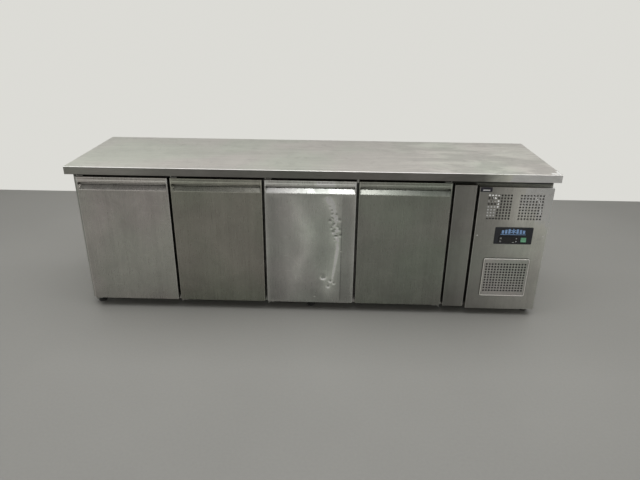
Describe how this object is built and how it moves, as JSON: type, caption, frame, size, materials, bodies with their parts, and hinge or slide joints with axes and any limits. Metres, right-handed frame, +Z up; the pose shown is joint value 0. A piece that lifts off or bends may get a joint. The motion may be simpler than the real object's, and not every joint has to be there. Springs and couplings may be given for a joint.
{
  "type": "refrigerated counter",
  "caption": "Long low stainless refrigerated counter: flat worktop over hinged insulated doors with integral top handles, and a vented machine bay with a thermostat at the right end.",
  "frame": {"origin": "floor level, under the centre of the worktop", "axes": "+X towards the machine bay end (the right as seen from the doors), +Y towards the back, +Z up"},
  "size_m": [2.23, 0.6, 0.74],
  "materials": {
    "worktop_steel": "satin",
    "core_board": "matte",
    "body_steel": "satin",
    "galvanised_steel": "satin",
    "foam": "matte",
    "liner_steel": "satin",
    "front_steel": "satin",
    "door_steel": "satin",
    "inner_panel": "satin",
    "gasket_rubber": "matte",
    "bezel_plastic": "satin",
    "display_glass": "gloss",
    "key_plastic": "satin",
    "rocker_plastic": "gloss",
    "screw_steel": "gloss",
    "coated_wire": "satin",
    "fan_plastic": "satin",
    "motor_paint": "satin",
    "coil_aluminium": "satin",
    "copper": "satin",
    "foot_rubber": "matte"
  },
  "bodies": {
    "cabinet": {"worktop": "worktop_steel", "worktop_core": "core_board", "left_side_panel": "body_steel", "right_side_panel": "body_steel", "back_panel": "galvanised_steel", "base_panel": "galvanised_steel", "partition_panel": "galvanised_steel", "insulation": "foam", "liner": "liner_steel", "front_frame": "body_steel", "mullions": "body_steel", "filler_panel": "front_steel", "machine_front_panel": "front_steel", "control_bezel": "bezel_plastic", "display_window": "display_glass", "controller_housing": "bezel_plastic", "switch_housing": "bezel_plastic", "hinges": "body_steel", "screws": "screw_steel", "shelf_1": "coated_wire", "shelf_2": "coated_wire", "shelf_3": "coated_wire", "shelf_4": "coated_wire", "shelf_supports": "liner_steel", "evaporator_cover": "liner_steel", "evaporator_fan_motor": "motor_paint", "evaporator_coil": "coil_aluminium", "condenser_coil": "motor_paint", "condenser_shroud": "galvanised_steel", "condenser_fan_motor": "motor_paint", "compressor": "motor_paint", "filter_drier": "copper", "refrigerant_pipes": "copper", "cable_gland": "bezel_plastic"},
    "door_1": {"door_1_skin": "door_steel", "door_1_inner_panel": "inner_panel", "door_1_gasket": "gasket_rubber"},
    "door_2": {"door_2_skin": "door_steel", "door_2_inner_panel": "inner_panel", "door_2_gasket": "gasket_rubber"},
    "door_3": {"door_3_skin": "door_steel", "door_3_inner_panel": "inner_panel", "door_3_gasket": "gasket_rubber"},
    "door_4": {"door_4_skin": "door_steel", "door_4_inner_panel": "inner_panel", "door_4_gasket": "gasket_rubber"},
    "condenser_grille": {"condenser_grille": "front_steel"},
    "rocker_switch": {"rocker_switch": "rocker_plastic"},
    "key_set": {"key_set": "key_plastic"},
    "key_lamp": {"key_lamp": "key_plastic"},
    "key_up": {"key_up": "key_plastic"},
    "key_down": {"key_down": "key_plastic"},
    "evaporator_fan": {"evaporator_fan": "fan_plastic"},
    "condenser_fan": {"condenser_fan": "fan_plastic"},
    "foot_front_1": {"foot_front_1": "foot_rubber"},
    "foot_back_1": {"foot_back_1": "foot_rubber"},
    "foot_front_2": {"foot_front_2": "foot_rubber"},
    "foot_back_2": {"foot_back_2": "foot_rubber"},
    "foot_front_3": {"foot_front_3": "foot_rubber"},
    "foot_back_3": {"foot_back_3": "foot_rubber"}
  },
  "joints": [
    {"name": "door_1_hinge", "type": "hinge", "parent": "cabinet", "child": "door_1", "pos_m": [-1.0725, -0.249, 0.366], "axis": [0, 0, -1], "range_deg": [0, 90], "stiffness_Nm_per_rad": 1.2, "springref_deg": -28.65},
    {"name": "door_2_hinge", "type": "hinge", "parent": "cabinet", "child": "door_2", "pos_m": [-0.6375, -0.249, 0.366], "axis": [0, 0, -1], "range_deg": [0, 90], "stiffness_Nm_per_rad": 1.2, "springref_deg": -28.65},
    {"name": "door_3_hinge", "type": "hinge", "parent": "cabinet", "child": "door_3", "pos_m": [-0.2025, -0.249, 0.366], "axis": [0, 0, -1], "range_deg": [0, 90], "stiffness_Nm_per_rad": 1.2, "springref_deg": -28.65},
    {"name": "door_4_hinge", "type": "hinge", "parent": "cabinet", "child": "door_4", "pos_m": [0.6315, -0.249, 0.366], "axis": [0, 0, 1], "range_deg": [0, 90], "stiffness_Nm_per_rad": 1.2, "springref_deg": -28.65},
    {"name": "rocker_tip", "type": "hinge", "parent": "cabinet", "child": "rocker_switch", "pos_m": [1, -0.262, 0.4125], "axis": [1, 0, 0], "range_deg": [0, 16]},
    {"name": "key_set_press", "type": "slide", "parent": "cabinet", "child": "key_set", "axis": [0, 1, 0], "range_m": [0, 0.001], "stiffness_N_per_m": 400},
    {"name": "key_lamp_press", "type": "slide", "parent": "cabinet", "child": "key_lamp", "axis": [0, 1, 0], "range_m": [0, 0.001], "stiffness_N_per_m": 400},
    {"name": "key_up_press", "type": "slide", "parent": "cabinet", "child": "key_up", "axis": [0, 1, 0], "range_m": [0, 0.001], "stiffness_N_per_m": 400},
    {"name": "key_down_press", "type": "slide", "parent": "cabinet", "child": "key_down", "axis": [0, 1, 0], "range_m": [0, 0.001], "stiffness_N_per_m": 400},
    {"name": "grille_pull", "type": "slide", "parent": "cabinet", "child": "condenser_grille", "axis": [0, -1, 0], "range_m": [0, 0.05]},
    {"name": "evaporator_fan_spin", "type": "hinge", "parent": "cabinet", "child": "evaporator_fan", "pos_m": [0.637, 0.03, 0.47], "axis": [1, 0, 0], "continuous": true},
    {"name": "condenser_fan_spin", "type": "hinge", "parent": "cabinet", "child": "condenser_fan", "pos_m": [0.938, -0.14, 0.212], "axis": [0, 1, 0], "continuous": true},
    {"name": "foot_front_1_screw", "type": "slide", "parent": "cabinet", "child": "foot_front_1", "axis": [0, 0, -1], "range_m": [0, 0.025]},
    {"name": "foot_back_1_screw", "type": "slide", "parent": "cabinet", "child": "foot_back_1", "axis": [0, 0, -1], "range_m": [0, 0.025]},
    {"name": "foot_front_2_screw", "type": "slide", "parent": "cabinet", "child": "foot_front_2", "axis": [0, 0, -1], "range_m": [0, 0.025]},
    {"name": "foot_back_2_screw", "type": "slide", "parent": "cabinet", "child": "foot_back_2", "axis": [0, 0, -1], "range_m": [0, 0.025]},
    {"name": "foot_front_3_screw", "type": "slide", "parent": "cabinet", "child": "foot_front_3", "axis": [0, 0, -1], "range_m": [0, 0.025]},
    {"name": "foot_back_3_screw", "type": "slide", "parent": "cabinet", "child": "foot_back_3", "axis": [0, 0, -1], "range_m": [0, 0.025]}
  ]
}
